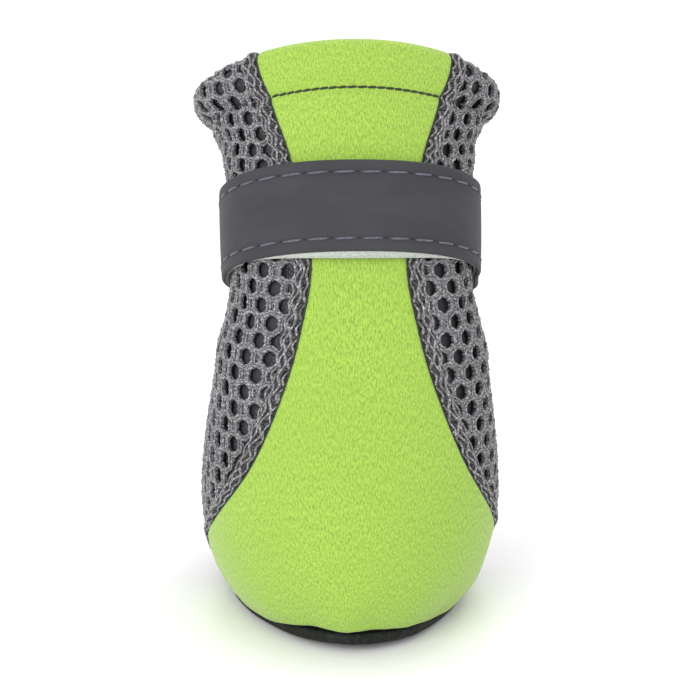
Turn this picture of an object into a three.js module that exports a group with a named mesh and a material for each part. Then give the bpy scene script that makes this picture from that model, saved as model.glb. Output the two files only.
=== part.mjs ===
// A soft dog boot: a knitted mesh upper with a stretch front panel, a thin soft sole, a sock liner
// and a hook-and-loop ankle strap. Millimetres, +Z up, toe towards -Y, origin at the middle of the
// flat of the sole. The boot has no left or right: only its strap closes on the +X side.
import * as THREE from "three";

// Driving sizes.
const LENGTH = 61; // toe to heel, over the upper
const BALL_WIDTH = 50.4; // across the paw
const FRONT_HEIGHT = 96.4; // floor to the collar's front edge
const BACK_HEIGHT = 77.4; // floor to the collar's back edge
const SOLE_THICKNESS = 2.4;
const TOE_SPRING = 1.2; // lift of the sole's tip
const WALL = 2.2; // mesh or foam-backed front panel
const HEM_WALL = 3.4; // the same cloth turned in at the collar
const LINER_THICKNESS = 1.2;
const STRAP_THICKNESS = 1.3;
const HOOK_TAPE_THICKNESS = 1.1;
const GAP = 0.3; // between pieces that touch

// The last, one row for each section from the sole seam up to the collar. toe and heel are the
// section's reach ahead of and behind the origin, in lengths; front and back are the heights of
// those two ends, in front and back heights; width is in ball widths; widest is where along the
// section that width lies, from its front end; toeRound and heelRound are the powers of the
// section's front and rear halves, 2 for an ellipse and less for a more pointed curve; and dip is
// how far its two sides hang below the line between its ends, in front heights.
const SEAM = SOLE_THICKNESS + GAP;
const SECTIONS = [
  { at: "sole seam", toe: 0.485, heel: 0.433, front: SEAM / FRONT_HEIGHT, back: SEAM / BACK_HEIGHT,
    width: 0.825, widest: 0.47, toeRound: 1.68, heelRound: 2.4, dip: 0 },
  { at: "feather edge", toe: 0.518, heel: 0.456, front: 0.072, back: 0.085,
    width: 0.905, widest: 0.47, toeRound: 1.8, heelRound: 2.4, dip: 0 },
  { at: "toe bulge", toe: 0.534, heel: 0.469, front: 0.129, back: 0.155,
    width: 0.965, widest: 0.46, toeRound: 1.92, heelRound: 2.35, dip: 0 },
  { at: "ball", toe: 0.528, heel: 0.462, front: 0.207, back: 0.24,
    width: 1, widest: 0.45, toeRound: 2.05, heelRound: 2.3, dip: 0 },
  { at: "vamp", toe: 0.479, heel: 0.436, front: 0.316, back: 0.337,
    width: 0.98, widest: 0.44, toeRound: 2.2, heelRound: 2.25, dip: 0 },
  { at: "lower instep", toe: 0.41, heel: 0.386, front: 0.434, back: 0.433,
    width: 0.929, widest: 0.43, toeRound: 2.3, heelRound: 2.2, dip: 0 },
  { at: "upper instep", toe: 0.341, heel: 0.335, front: 0.552, back: 0.526,
    width: 0.865, widest: 0.44, toeRound: 2.35, heelRound: 2.2, dip: 0 },
  { at: "strap's lower edge", toe: 0.262, heel: 0.305, front: 0.676, back: 0.602,
    width: 0.802, widest: 0.47, toeRound: 2.3, heelRound: 2.2, dip: 0 },
  { at: "strap's upper edge", toe: 0.157, heel: 0.4, front: 0.819, back: 0.778,
    width: 0.815, widest: 0.48, toeRound: 2.25, heelRound: 2.2, dip: 0 },
  { at: "hem line", toe: 0.108, heel: 0.498, front: 0.91, back: 0.889,
    width: 0.905, widest: 0.49, toeRound: 2.15, heelRound: 2.2, dip: 0.028 },
  { at: "collar edge", toe: 0.054, heel: 0.593, front: 1, back: 1,
    width: 1.025, widest: 0.5, toeRound: 2.1, heelRound: 2.2, dip: 0.035 },
];
const LAST_ROW = SECTIONS.length - 1;
const STRAP_LOW = 7 / LAST_ROW; // level of the strap's lower edge
const STRAP_HIGH = 8 / LAST_ROW;
const HEM = 9 / LAST_ROW;

const AROUND = 44; // facets round a section
const ROWS_PER_SECTION = 2;
const SPRING_START = -14; // y where the sole leaves the floor
const SPRING_TOP = 55; // height above which the toe spring has faded out
const HEM_FROM = HEM - 0.03; // levels over which the wall thickens into the hem
const HEM_TO = HEM + 0.01;
const HEM_RISE = HEM_WALL / 4; // the collar edge's rounded top, over its two faces
const LINER_CLEARANCE = 0.5; // between the liner's edge and the wall
const LEVEL_CHORD = 0.01; // half lengths of the chords that give the surface's directions
const TURN_CHORD = 0.05;

// The strap goes once round from its sewn end, over the front, and on over its own sewn end. Turns
// are degrees from the toe towards +X.
const STRAP_SEWN_END = 126;
const STRAP_FREE_END = 360 + 186;
const STRAP_STEP_FROM = 360 + 90; // where it starts to climb over the sewn end
const STRAP_STEP_TO = 360 + 122;
const STRAP_STANDOFF = 0.55; // slack between strap and upper
const STRAP_FRONT_SLACK = 0.6; // more of it, over the shin
const STRAP_STEP_DEGREES = 6;
const STRAP_EDGE = 0.03; // of the strap's width, over which each edge is rounded
const TAPE_FROM = 360 + 132;
const TAPE_TO = 360 + 180;
const TAPE_INSET = 0.07; // of the strap's width, at each edge

const column = (pick) => new THREE.CatmullRomCurve3(SECTIONS.map(pick), false, "catmullrom", 0.5);
const frontLine = column((s) => new THREE.Vector3(0, -s.toe * LENGTH, s.front * FRONT_HEIGHT));
const backLine = column((s) => new THREE.Vector3(0, s.heel * LENGTH, s.back * BACK_HEIGHT));
const girthLine = column((s) => new THREE.Vector3((s.width * BALL_WIDTH) / 2, s.widest, 0));
const roundLine = column((s) => new THREE.Vector3(s.toeRound, s.heelRound, s.dip * FRONT_HEIGHT));

const radians = THREE.MathUtils.degToRad;
const smooth = (x) => THREE.MathUtils.smoothstep(x, 0, 1);
const signedPower = (x, power) => Math.sign(x) * Math.abs(x) ** power;

// A point of the outer face of the last. level is 0 at the sole seam and 1 at the collar edge, and
// turn is the angle round the section in radians, 0 at the toe and a quarter turn at +X.
function lastPoint(level, turn) {
  const front = frontLine.getPoint(level);
  const back = backLine.getPoint(level);
  const girth = girthLine.getPoint(level);
  const round = roundLine.getPoint(level);
  const ahead = Math.cos(turn) >= 0;
  const power = 2 / (ahead ? round.x : round.y);
  const semi = ahead ? girth.y : 1 - girth.y;
  const share = girth.y - semi * signedPower(Math.cos(turn), power);
  const point = front.lerp(back, share);
  point.x = girth.x * signedPower(Math.sin(turn), power);
  point.z -= round.z * Math.sin(turn) ** 2;
  return point;
}

// The outward normal there, from two chords of the surface.
function lastNormal(level, turn) {
  const low = Math.max(0, level - LEVEL_CHORD);
  const high = Math.min(1, level + LEVEL_CHORD);
  const up = lastPoint(high, turn).sub(lastPoint(low, turn));
  const along = lastPoint(level, turn + TURN_CHORD).sub(lastPoint(level, turn - TURN_CHORD));
  return along.cross(up).normalize();
}

// The toe spring, which lifts sole, liner and upper together and fades out up the boot.
function sprung(point) {
  const ahead = Math.max(0, (SPRING_START - point.y) / (SPRING_START + SECTIONS[0].toe * LENGTH));
  const fade = 1 - smooth((point.z - SOLE_THICKNESS) / (SPRING_TOP - SOLE_THICKNESS));
  return point.clone().setZ(point.z + TOE_SPRING * ahead * ahead * fade);
}

// A closed solid through rings of equal point counts. Its two ends join if joined is true, and are
// closed by a fan on each end ring's middle if not. Rings run so that the faces point outwards.
function solidThrough(rings, joined = false) {
  const count = rings[0].length;
  const points = rings.flat();
  const faces = [];
  const spans = joined ? rings.length : rings.length - 1;
  for (let r = 0; r < spans; r++) {
    const here = r * count;
    const next = ((r + 1) % rings.length) * count;
    for (let k = 0; k < count; k++) {
      const after = (k + 1) % count;
      faces.push(here + k, here + after, next + after, here + k, next + after, next + k);
    }
  }
  if (!joined) {
    for (const [start, flip] of [[0, true], [points.length - count, false]]) {
      const ring = points.slice(start, start + count);
      const middle = points.length;
      points.push(ring.reduce((sum, p) => sum.add(p), new THREE.Vector3()).divideScalar(count));
      for (let k = 0; k < count; k++) {
        const pair = [start + k, start + ((k + 1) % count)];
        faces.push(...(flip ? pair.reverse() : pair), middle);
      }
    }
  }
  const geometry = new THREE.BufferGeometry().setFromPoints(points);
  geometry.setIndex(faces);
  geometry.computeVertexNormals();
  return geometry;
}

const turns = Array.from({ length: AROUND }, (_, k) => (2 * Math.PI * k) / AROUND);

// The upper's ring at a level, sunk into the wall by a depth. At the sole seam the wall is cut
// level, so that it stands on the sole.
function upperRing(level, depth) {
  return turns.map((turn) => {
    const outer = lastPoint(level, turn);
    const point = outer.clone().addScaledVector(lastNormal(level, turn), -depth);
    if (level === 0) point.z = outer.z;
    return sprung(point);
  });
}

function wallAt(level) {
  return THREE.MathUtils.lerp(WALL, HEM_WALL, smooth((level - HEM_FROM) / (HEM_TO - HEM_FROM)));
}

// Mesh sides, back and front panel are one wall, open at the collar and over the sole.
function upper() {
  const rows = LAST_ROW * ROWS_PER_SECTION;
  const levels = Array.from({ length: rows + 1 }, (_, k) => k / rows);
  const outside = levels.map((level) => upperRing(level, 0));
  const inside = levels.map((level) => upperRing(level, wallAt(level))).reverse();
  const edge = upperRing(1, HEM_WALL / 2).map((p) => p.setZ(p.z + HEM_RISE));
  return solidThrough([...outside, edge, ...inside], true);
}

// A flat outline at a height: the last's sole seam, moved outwards and shrunk about its middle.
function seamOutline(outwards, height, share = 1) {
  const middle = (SECTIONS[0].heel - SECTIONS[0].toe) * (LENGTH / 2);
  return turns.map((turn) => {
    const tangent = lastPoint(0, turn + TURN_CHORD).sub(lastPoint(0, turn - TURN_CHORD));
    const normal = new THREE.Vector3(tangent.y, -tangent.x, 0).normalize();
    const point = lastPoint(0, turn).addScaledVector(normal, outwards);
    point.set(point.x * share, middle + (point.y - middle) * share, height);
    return sprung(point);
  });
}

// The sole's edge, from its foot to its top face: how far it stands out past the upper, and where.
const SOLE_EDGE = [
  { proud: -0.9, height: 0 },
  { proud: 0, height: 0.45 },
  { proud: 0.35, height: 1.2 },
  { proud: 0.25, height: 1.95 },
  { proud: -0.2, height: SOLE_THICKNESS },
];
const INNER_RINGS = [0.3, 0.62, 0.86]; // shares of the outline that carry the toe spring inwards

function plate(edge) {
  const foot = edge[0];
  const top = edge[edge.length - 1];
  return solidThrough([
    ...INNER_RINGS.map((share) => seamOutline(foot.proud, foot.height, share)),
    ...edge.map((row) => seamOutline(row.proud, row.height)),
    ...[...INNER_RINGS].reverse().map((share) => seamOutline(top.proud, top.height, share)),
  ]);
}

function sockLiner() {
  const inset = -(WALL + LINER_CLEARANCE);
  const foot = SOLE_THICKNESS + GAP;
  return plate([
    { proud: inset, height: foot },
    { proud: inset, height: foot + LINER_THICKNESS },
  ]);
}

// The strap's own line at a turn in degrees: the low and high edges of its inner face and the
// outward direction between them.
function strapLine(degrees, outwards) {
  const turn = radians(degrees);
  const low = sprung(lastPoint(STRAP_LOW, turn));
  const high = sprung(lastPoint(STRAP_HIGH, turn));
  const normal = lastNormal((STRAP_LOW + STRAP_HIGH) / 2, turn);
  const slack = STRAP_STANDOFF + STRAP_FRONT_SLACK * Math.max(0, Math.cos(turn)) ** 2;
  low.addScaledVector(normal, slack + outwards);
  high.addScaledVector(normal, slack + outwards);
  return { low, high, normal };
}

// One cross-section of a flat band, with its long edges rounded.
function bandRing(line, thickness, inset = 0) {
  const shares = [inset, inset + STRAP_EDGE, 1 - inset - STRAP_EDGE, 1 - inset];
  const face = (share, out) => line.low.clone().lerp(line.high, share).addScaledVector(line.normal, out);
  const [low, lowIn, highIn, high] = shares;
  return [
    face(lowIn, 0),
    face(highIn, 0),
    face(high, thickness / 2),
    face(highIn, thickness),
    face(lowIn, thickness),
    face(low, thickness / 2),
  ];
}

function band(from, to, thickness, outwards, inset) {
  const steps = Math.round((to - from) / STRAP_STEP_DEGREES);
  const rings = Array.from({ length: steps + 1 }, (_, k) => {
    const degrees = from + ((to - from) * k) / steps;
    return bandRing(strapLine(degrees, outwards(degrees)), thickness, inset);
  });
  return solidThrough(rings);
}

// The free end rides over the sewn end and the hook tape between them.
const OVERLAP_LIFT = STRAP_THICKNESS + HOOK_TAPE_THICKNESS + 2 * GAP;

function strap() {
  const climb = (degrees) =>
    OVERLAP_LIFT * smooth((degrees - STRAP_STEP_FROM) / (STRAP_STEP_TO - STRAP_STEP_FROM));
  return band(STRAP_SEWN_END, STRAP_FREE_END, STRAP_THICKNESS, climb);
}

function hookTape() {
  const sits = () => STRAP_THICKNESS + GAP;
  return band(TAPE_FROM, TAPE_TO, HOOK_TAPE_THICKNESS, sits, TAPE_INSET);
}

const MATERIALS = {
  mesh: new THREE.MeshStandardMaterial({ color: "#6c6c70", roughness: 0.9, metalness: 0 }),
  sole: new THREE.MeshStandardMaterial({ color: "#17171a", roughness: 0.85, metalness: 0 }),
  liner: new THREE.MeshStandardMaterial({ color: "#2c2c30", roughness: 0.95, metalness: 0 }),
  strap: new THREE.MeshStandardMaterial({ color: "#56565c", roughness: 0.5, metalness: 0 }),
  tape: new THREE.MeshStandardMaterial({ color: "#1d1d20", roughness: 0.95, metalness: 0 }),
};

function piece(name, geometry, material) {
  const mesh = new THREE.Mesh(geometry, material);
  mesh.name = name;
  return mesh;
}

const boot = new THREE.Group();
boot.add(
  piece("sole", plate(SOLE_EDGE), MATERIALS.sole),
  piece("sock_liner", sockLiner(), MATERIALS.liner),
  piece("upper", upper(), MATERIALS.mesh),
  piece("strap", strap(), MATERIALS.strap),
  piece("hook_tape", hookTape(), MATERIALS.tape),
);

export default boot;
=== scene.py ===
"""A soft dog boot: air-mesh sides and back, a lime stretch front panel, a thin black sole and a
hook-and-loop ankle strap. Each cloth piece is cut flat, in metres, and then laid on the last."""

import math

import bmesh
import bpy
import numpy as np
from mathutils import Matrix, Vector


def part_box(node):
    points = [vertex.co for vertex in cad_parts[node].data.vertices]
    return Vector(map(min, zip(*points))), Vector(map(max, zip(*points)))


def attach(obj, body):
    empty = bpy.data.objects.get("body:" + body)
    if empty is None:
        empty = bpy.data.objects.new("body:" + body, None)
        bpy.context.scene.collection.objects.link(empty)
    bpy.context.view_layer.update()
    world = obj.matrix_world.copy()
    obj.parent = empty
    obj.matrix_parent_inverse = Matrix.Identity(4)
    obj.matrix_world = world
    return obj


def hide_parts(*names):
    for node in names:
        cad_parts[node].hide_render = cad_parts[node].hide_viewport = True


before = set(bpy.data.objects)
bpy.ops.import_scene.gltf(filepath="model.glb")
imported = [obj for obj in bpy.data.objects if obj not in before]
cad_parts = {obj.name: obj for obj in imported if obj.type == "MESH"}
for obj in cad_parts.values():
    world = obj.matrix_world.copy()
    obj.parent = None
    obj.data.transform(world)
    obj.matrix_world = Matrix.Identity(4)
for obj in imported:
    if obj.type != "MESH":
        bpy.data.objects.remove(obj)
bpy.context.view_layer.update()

bl_info = {
    "name": "Dog Boot",
    "version": (1, 0, 0),
    "blender": (4, 5, 0),
    "location": "View3D > Sidebar > Dog Boot",
    "description": "Builds a soft dog boot around its packed frame",
    "category": "Add Mesh",
}

MM = 0.001

# ---------------------------------------------------------------------------------------------
# The last. Its driving sizes come from the frame's upper, which reaches 0.535 lengths ahead,
# 0.5125 ball widths to a side and 1.0025 front heights up.
# ---------------------------------------------------------------------------------------------
UPPER_LOW, UPPER_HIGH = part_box("upper")
LENGTH = -UPPER_LOW.y / 0.535
BALL_WIDTH = UPPER_HIGH.x / 0.5125
FRONT_HEIGHT = UPPER_HIGH.z / 1.0025
BACK_HEIGHT = 0.803 * FRONT_HEIGHT
SEAM_HEIGHT = UPPER_LOW.z
GAP = 0.3 * MM
SOLE_THICKNESS = SEAM_HEIGHT - GAP
TOE_SPRING = 1.2 * MM
SPRING_START = -14 * MM
SPRING_TOP = 55 * MM

# One row for each section from the sole seam up. toe and heel are its reach ahead and behind in
# lengths, front and back its ends' heights in front and back heights, width its breadth in ball
# widths, widest where along it that lies, toe_round and heel_round the powers of its two halves,
# dip how far its sides hang in front heights, and panel the half turn, in degrees, that the front
# panel covers.
COLUMNS = ("toe", "heel", "front", "back", "width", "widest", "toe_round", "heel_round", "dip", "panel")
LOW_FRONT, LOW_BACK = SEAM_HEIGHT / FRONT_HEIGHT, SEAM_HEIGHT / BACK_HEIGHT
SECTIONS = np.array([
    (0.485, 0.433, LOW_FRONT, LOW_BACK, 0.825, 0.47, 1.68, 2.4, 0, 97),  # sole seam
    (0.518, 0.456, 0.072, 0.085, 0.905, 0.47, 1.8, 2.4, 0, 92),  # feather edge
    (0.534, 0.469, 0.129, 0.155, 0.965, 0.46, 1.92, 2.35, 0, 85),  # toe bulge
    (0.528, 0.462, 0.207, 0.24, 1, 0.45, 2.05, 2.3, 0, 67),  # ball
    (0.479, 0.436, 0.316, 0.337, 0.98, 0.44, 2.2, 2.25, 0, 45.5),  # vamp
    (0.41, 0.386, 0.434, 0.433, 0.929, 0.43, 2.3, 2.2, 0, 31.5),  # lower instep
    (0.341, 0.335, 0.552, 0.526, 0.865, 0.44, 2.35, 2.2, 0, 23),  # upper instep
    (0.262, 0.305, 0.676, 0.602, 0.802, 0.47, 2.3, 2.2, 0, 20),  # strap's lower edge
    (0.157, 0.4, 0.819, 0.778, 0.815, 0.48, 2.25, 2.2, 0, 29),  # strap's upper edge
    (0.108, 0.498, 0.91, 0.889, 0.905, 0.49, 2.15, 2.2, 0.028, 34.5),  # hem line
    (0.054, 0.593, 1, 1, 1.025, 0.5, 2.1, 2.2, 0.035, 38),  # collar edge
])
LAST_ROW = len(SECTIONS) - 1
TOE_END, HEEL_END = SECTIONS[0, :2] * LENGTH  # how far the sole seam reaches ahead and behind
STRAP_LOW, STRAP_HIGH = 7 / LAST_ROW, 8 / LAST_ROW
ROLL = 1.7 * MM  # radius of the cloth's turn at the collar
HEM = 6.6 * MM  # depth of the turned-in hem


def smooth(x):
    x = np.clip(x, 0, 1)
    return x * x * (3 - 2 * x)


def bell(x):
    return np.exp(-np.square(x))


def section(column, level):
    """A column's value at levels from 0 at the sole seam to 1 at the collar edge."""
    rows = SECTIONS[:, COLUMNS.index(column)]
    rows = np.concatenate([[2 * rows[0] - rows[1]], rows, [2 * rows[-1] - rows[-2]]])
    place = np.clip(level, 0, 1) * LAST_ROW
    index = np.minimum(place.astype(int), LAST_ROW - 1)
    w = place - index
    before, here, there, after = (rows[index + k] for k in range(4))
    rise, fall = (there - before) / 2, (after - here) / 2
    return (
        (2 * w**3 - 3 * w**2 + 1) * here
        + (w**3 - 2 * w**2 + w) * rise
        + (3 * w**2 - 2 * w**3) * there
        + (w**3 - w**2) * fall
    )


def sprung(points):
    """The toe spring's lift, which fades out up the boot."""
    ahead = np.maximum(0, (SPRING_START - points[..., 1]) / (SPRING_START + TOE_END))
    fade = 1 - smooth((points[..., 2] - SOLE_THICKNESS) / (SPRING_TOP - SOLE_THICKNESS))
    lifted = points.copy()
    lifted[..., 2] += TOE_SPRING * ahead**2 * fade
    return lifted


def last(level, turn):
    """Points of the last's outer face. turn is 0 at the toe and a quarter turn at +X."""
    level, turn = np.broadcast_arrays(np.asarray(level, float), np.asarray(turn, float))
    front = np.stack([0 * level, -LENGTH * section("toe", level), FRONT_HEIGHT * section("front", level)], -1)
    back = np.stack([0 * level, LENGTH * section("heel", level), BACK_HEIGHT * section("back", level)], -1)
    widest = section("widest", level)
    ahead = np.cos(turn) >= 0
    power = 2 / np.where(ahead, section("toe_round", level), section("heel_round", level))
    semi = np.where(ahead, widest, 1 - widest)
    share = widest - semi * np.sign(np.cos(turn)) * np.abs(np.cos(turn)) ** power
    points = front + (back - front) * share[..., None]
    breadth = BALL_WIDTH / 2 * section("width", level)
    points[..., 0] = breadth * np.sign(np.sin(turn)) * np.abs(np.sin(turn)) ** power
    points[..., 2] -= FRONT_HEIGHT * section("dip", level) * np.sin(turn) ** 2
    return points


def unit(vectors):
    return vectors / np.linalg.norm(vectors, axis=-1, keepdims=True)


def skin(level, turn):
    """The last's points with their outward and upward directions."""
    up = last(np.minimum(level + 0.01, 1), turn) - last(np.maximum(level - 0.01, 0), turn)
    along = last(level, turn + 0.05) - last(level, turn - 0.05)
    return sprung(last(level, turn)), unit(np.cross(along, up)), unit(up)


# Charts of the last's lengths, for cutting cloth flat: up its side, and round it at each level.
LEVELS = np.linspace(0, 1, 161)
TURNS = np.linspace(0, math.pi, 181)
SIDE_LINE = last(LEVELS, math.pi / 2)
SIDE = np.concatenate([[0], np.cumsum(np.linalg.norm(np.diff(SIDE_LINE, axis=0), axis=1))])
HALF_RINGS = last(LEVELS[:, None], TURNS[None, :])
FROM_TOE = np.zeros(HALF_RINGS.shape[:2])
FROM_TOE[:, 1:] = np.cumsum(np.linalg.norm(np.diff(HALF_RINGS, axis=1), axis=2), axis=1)
HALF_GIRTH = FROM_TOE[:, -1]
SHARES = np.linspace(0, 1, 181)
TURN_AT_SHARE = np.array([np.interp(SHARES, row / row[-1], TURNS) for row in FROM_TOE])
SEAM_TURN = np.radians(section("panel", LEVELS))
PANEL_HALF = np.array([np.interp(t, TURNS, row) for t, row in zip(SEAM_TURN, FROM_TOE)])
COLLAR = SIDE[-1]
INSIDE = COLLAR + math.pi * ROLL  # height in the flat cloth where it starts down the inside


def level_at(height):
    """The level of a height in the flat cloth, which turns over the collar and down inside."""
    outside = np.minimum(height, COLLAR)
    return np.interp(outside - np.maximum(height - INSIDE, 0), SIDE, LEVELS)


def panel_half(height):
    return np.interp(level_at(height), LEVELS, PANEL_HALF)


def mesh_half(height):
    return np.interp(level_at(height), LEVELS, HALF_GIRTH - PANEL_HALF)


def half_girth(level):
    return np.interp(level, LEVELS, HALF_GIRTH)


def seam_turn(height):
    """The turn of the panel's seam at a height in the flat cloth."""
    return np.interp(level_at(height), LEVELS, SEAM_TURN)


def looked_up(table, row, column):
    """A table's values between its rows and columns."""
    r = np.clip(row.astype(int), 0, table.shape[0] - 2)
    c = np.clip(column.astype(int), 0, table.shape[1] - 2)
    over, along = row - r, column - c
    low = table[r, c] * (1 - along) + table[r, c + 1] * along
    high = table[r + 1, c] * (1 - along) + table[r + 1, c + 1] * along
    return low * (1 - over) + high * over


def turn_at(level, share):
    """The turn at a share of a level's half girth, from the toe."""
    return looked_up(TURN_AT_SHARE, level * (len(LEVELS) - 1), np.clip(share, 0, 1) * (len(SHARES) - 1))


def turn_from_back(height, across):
    """The turn of a place in the mesh's flat cloth, across from the back's middle, +ve to -X."""
    level = level_at(height)
    share = 1 - np.abs(across) / half_girth(level)
    return math.pi + np.sign(across) * (math.pi - turn_at(level, share))


# The air mesh's own chart keeps the lengths of its rows and columns. Its grain runs up the boot
# beside the panel, and it is pulled wider and a little upwards there.
GRAIN_TURN, GRAIN_START = math.radians(25), 12 * MM
PULL, PULL_REACH, SLANT = 0.3, 30 * MM, 0.2
CLIMB = np.zeros(FROM_TOE.shape)
CLIMB[1:] = np.cumsum(np.linalg.norm(np.diff(HALF_RINGS, axis=0), axis=2), axis=0)
LEVEL_AT_SHARE = np.array([np.interp(SHARES, row / row[-1], LEVELS) for row in CLIMB.T])
GRAIN = np.array([np.interp(GRAIN_TURN, TURNS, row) for row in FROM_TOE]) - GRAIN_START


def net_place(x, y):
    """Height and turn of a place in the air mesh: x across from the front, y up."""
    near = np.minimum(np.abs(x), PULL_REACH)
    across, y = np.abs(x) + PULL * near, y + SLANT * (PULL_REACH - near)
    level = np.clip(y / COLLAR, 0, 1)
    for _ in range(8):
        turn = turn_at(level, (across + np.interp(level, LEVELS, GRAIN)) / half_girth(level))
        top = np.interp(turn, TURNS, CLIMB[-1])
        share = np.clip(y / top, 0, 1) * (len(SHARES) - 1)
        level = looked_up(LEVEL_AT_SHARE, turn / math.pi * (len(TURNS) - 1), share)
    height = np.interp(level, LEVELS, SIDE) + np.minimum(y, 0) + np.maximum(y - top, 0)
    return height, np.sign(x) * turn


# Creases, listed one by one. Each row holds the crease's turn, in degrees from the toe to +X, its height
# up the side, its half length and half width, its slope in degrees from level, and its rise, which is
# negative for a trough. Lengths are in millimetres.
CREASES = [
    (62, 76, 9, 2.2, 24, -0.6),  # pulled in over the strap, both sides of the panel
    (-66, 77, 9, 2.2, -24, -0.6),
    (58, 72, 8, 2.0, 12, 0.35),
    (-60, 72.5, 8, 2.0, -14, 0.35),
    (100, 78, 10, 2.4, -18, -0.5),
    (-104, 77, 10, 2.4, 16, -0.5),
    (140, 82, 9, 2.6, 20, 0.5),
    (-146, 81, 9, 2.4, -22, -0.5),
    (64, 50, 8, 2.4, 34, -0.6),  # under the strap
    (-60, 49, 9, 2.6, -30, -0.65),
    (88, 44, 10, 3.0, 22, 0.5),
    (-84, 43, 10, 3.0, -20, 0.45),
    (124, 46, 11, 2.6, -16, -0.75),
    (-128, 45, 11, 2.6, 14, -0.8),
    (176, 42, 14, 2.8, 3, -0.9),  # across the back of the ankle
    (168, 36, 12, 3.0, -5, 0.6),
    (-170, 30, 10, 2.8, 8, -0.45),
    (20, 60, 7, 3.4, 70, 0.22),  # down the shin, faint
    (-12, 40, 10, 4.0, 82, -0.2),
    (16, 24, 12, 5.0, 60, 0.25),
    (-30, 20, 9, 4.0, -58, -0.25),
    (-24, 2.5, 4.5, 2.2, 84, -0.5),  # puckers at the sole seam
    (-9, 2.5, 4.5, 2.0, 92, 0.4),
    (8, 3, 4.5, 2.4, 96, -0.4),
    (26, 2.5, 4.0, 2.2, 86, 0.4),
    (-44, 3, 4.5, 2.6, 80, 0.4),
    (46, 3, 4.5, 2.6, 98, -0.45),
    (70, 3, 4.0, 2.6, 90, 0.35),
    (-72, 3, 4.0, 2.6, 90, -0.4),
]
MEAN_RADIUS = 24 * MM  # of the last, where a crease's turn becomes a length

# The ears' rolled edge and the waist below it: rise, place below the collar and half size, in
# millimetres.
EAR_ROLL, EAR_WAIST = (0.6, 0.7, 2.4), (-1.1, 8.0, 5.5)


def hem_depth(turn):
    """How far the hem's row of stitches is below the collar: a little less at the sides."""
    return HEM - 2.2 * MM * np.sin(turn) ** 4


def relief(height, turn):
    """How far creases, the hem and the ears lift the cloth from the last."""
    total = np.zeros(np.broadcast(height, turn).shape)
    for middle, place, long, wide, slope, rise in CREASES:
        offset = turn - math.radians(middle)
        across = np.arctan2(np.sin(offset), np.cos(offset)) * MEAN_RADIUS
        up = height - place * MM
        lean = math.radians(slope)
        along = across * math.cos(lean) + up * math.sin(lean)
        over = up * math.cos(lean) - across * math.sin(lean)
        total += rise * MM * bell(along / (long * MM)) * bell(over / (wide * MM))
    below = COLLAR - height
    side = np.abs(np.sin(turn))
    hem = hem_depth(turn)
    total += 0.35 * MM * smooth(below / (2 * MM)) * smooth((hem - below) / (3 * MM))
    total -= (0.4 + 0.25 * side**4) * MM * bell((below - hem) / (0.8 * MM))
    for rise, place, half in (EAR_ROLL, EAR_WAIST):
        total += rise * MM * side**4 * bell((below - place * MM) / (half * MM))
    return total * smooth(1 - (height - COLLAR) / (INSIDE - COLLAR))


def cloth(height, turn, proud):
    """Points of the cloth, proud of the last, which roll over the collar and go down inside."""
    roll = np.clip((height - COLLAR) / ROLL, 0, math.pi)[..., None]
    points, out, up = skin(level_at(height), turn)
    points = points + up * np.minimum(0, height)[..., None]
    proud = (proud + relief(height, turn) + ROLL)[..., None]
    return points - out * ROLL + (out * np.cos(roll) + up * np.sin(roll)) * proud


def mesh_chart(x, y, z):
    """The sides and back: x across from the back's middle, y up, z proud."""
    return cloth(y, turn_from_back(y, x), z)


def net_chart(x, y, z):
    """The air mesh, by its own rows and columns."""
    return cloth(*net_place(x, y), z)


def panel_chart(x, y, z):
    """The front panel: x across from the front's middle, y up, z proud."""
    return cloth(y, x / panel_half(y) * seam_turn(y), z)


def whole_chart(x, y, z):
    """The whole way round: x from -1 to 1 from the back round to the back."""
    return cloth(y, x * math.pi, z)


# ---------------------------------------------------------------------------------------------
# The strap's line, in degrees from the toe towards +X, from its sewn end to its free end.
# ---------------------------------------------------------------------------------------------
STRAP_THICKNESS = 1.3 * MM
TAPE_THICKNESS = 1.1 * MM
SEWN_END, FREE_END = 126, 360 + 186
STEP_FROM, STEP_TO = 360 + 90, 360 + 122
TAPE_FROM, TAPE_TO = 360 + 132, 360 + 180
UNDER_LAYER = 300  # the overlap's under layer lies before this
CROSS_ROWS = (198, 205)  # the two rows of stitches across the strap by its sewn end
STANDOFF, FRONT_SLACK = 0.55 * MM, 0.6 * MM


def strap_place(degrees, share, out):
    """Points of the strap: share is 0 at its lower edge and 1 at its upper edge."""
    turn = np.radians(degrees)
    low, high = (sprung(last(level, turn)) for level in (STRAP_LOW, STRAP_HIGH))
    _, normal, _ = skin(np.full(turn.shape, (STRAP_LOW + STRAP_HIGH) / 2), turn)
    climb = STRAP_THICKNESS + TAPE_THICKNESS + 2 * GAP
    stand = STANDOFF + FRONT_SLACK * np.maximum(0, np.cos(turn)) ** 2
    stand = stand + climb * smooth((degrees - STEP_FROM) / (STEP_TO - STEP_FROM))
    return low + (high - low) * share[..., None] + normal * (stand + out)[..., None]


STRAP_DEGREES = np.linspace(SEWN_END, FREE_END, 421)
STRAP_MIDDLE = strap_place(STRAP_DEGREES, np.full(421, 0.5), np.full(421, STRAP_THICKNESS))
STRAP_RUN = np.concatenate([[0], np.cumsum(np.linalg.norm(np.diff(STRAP_MIDDLE, axis=0), axis=1))])
STRAP_LENGTH = float(STRAP_RUN[-1])
STRAP_WIDTH = float(np.linalg.norm(last(STRAP_LOW, 0.0) - last(STRAP_HIGH, 0.0)))


def strap_chart(x, y, z):
    """The strap: x along from its sewn end, y across from its lower edge, z proud of its inside."""
    return strap_place(np.interp(x, STRAP_RUN, STRAP_DEGREES), y / STRAP_WIDTH, z)


def along_strap(degrees):
    return float(np.interp(degrees, STRAP_DEGREES, STRAP_RUN))


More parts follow.
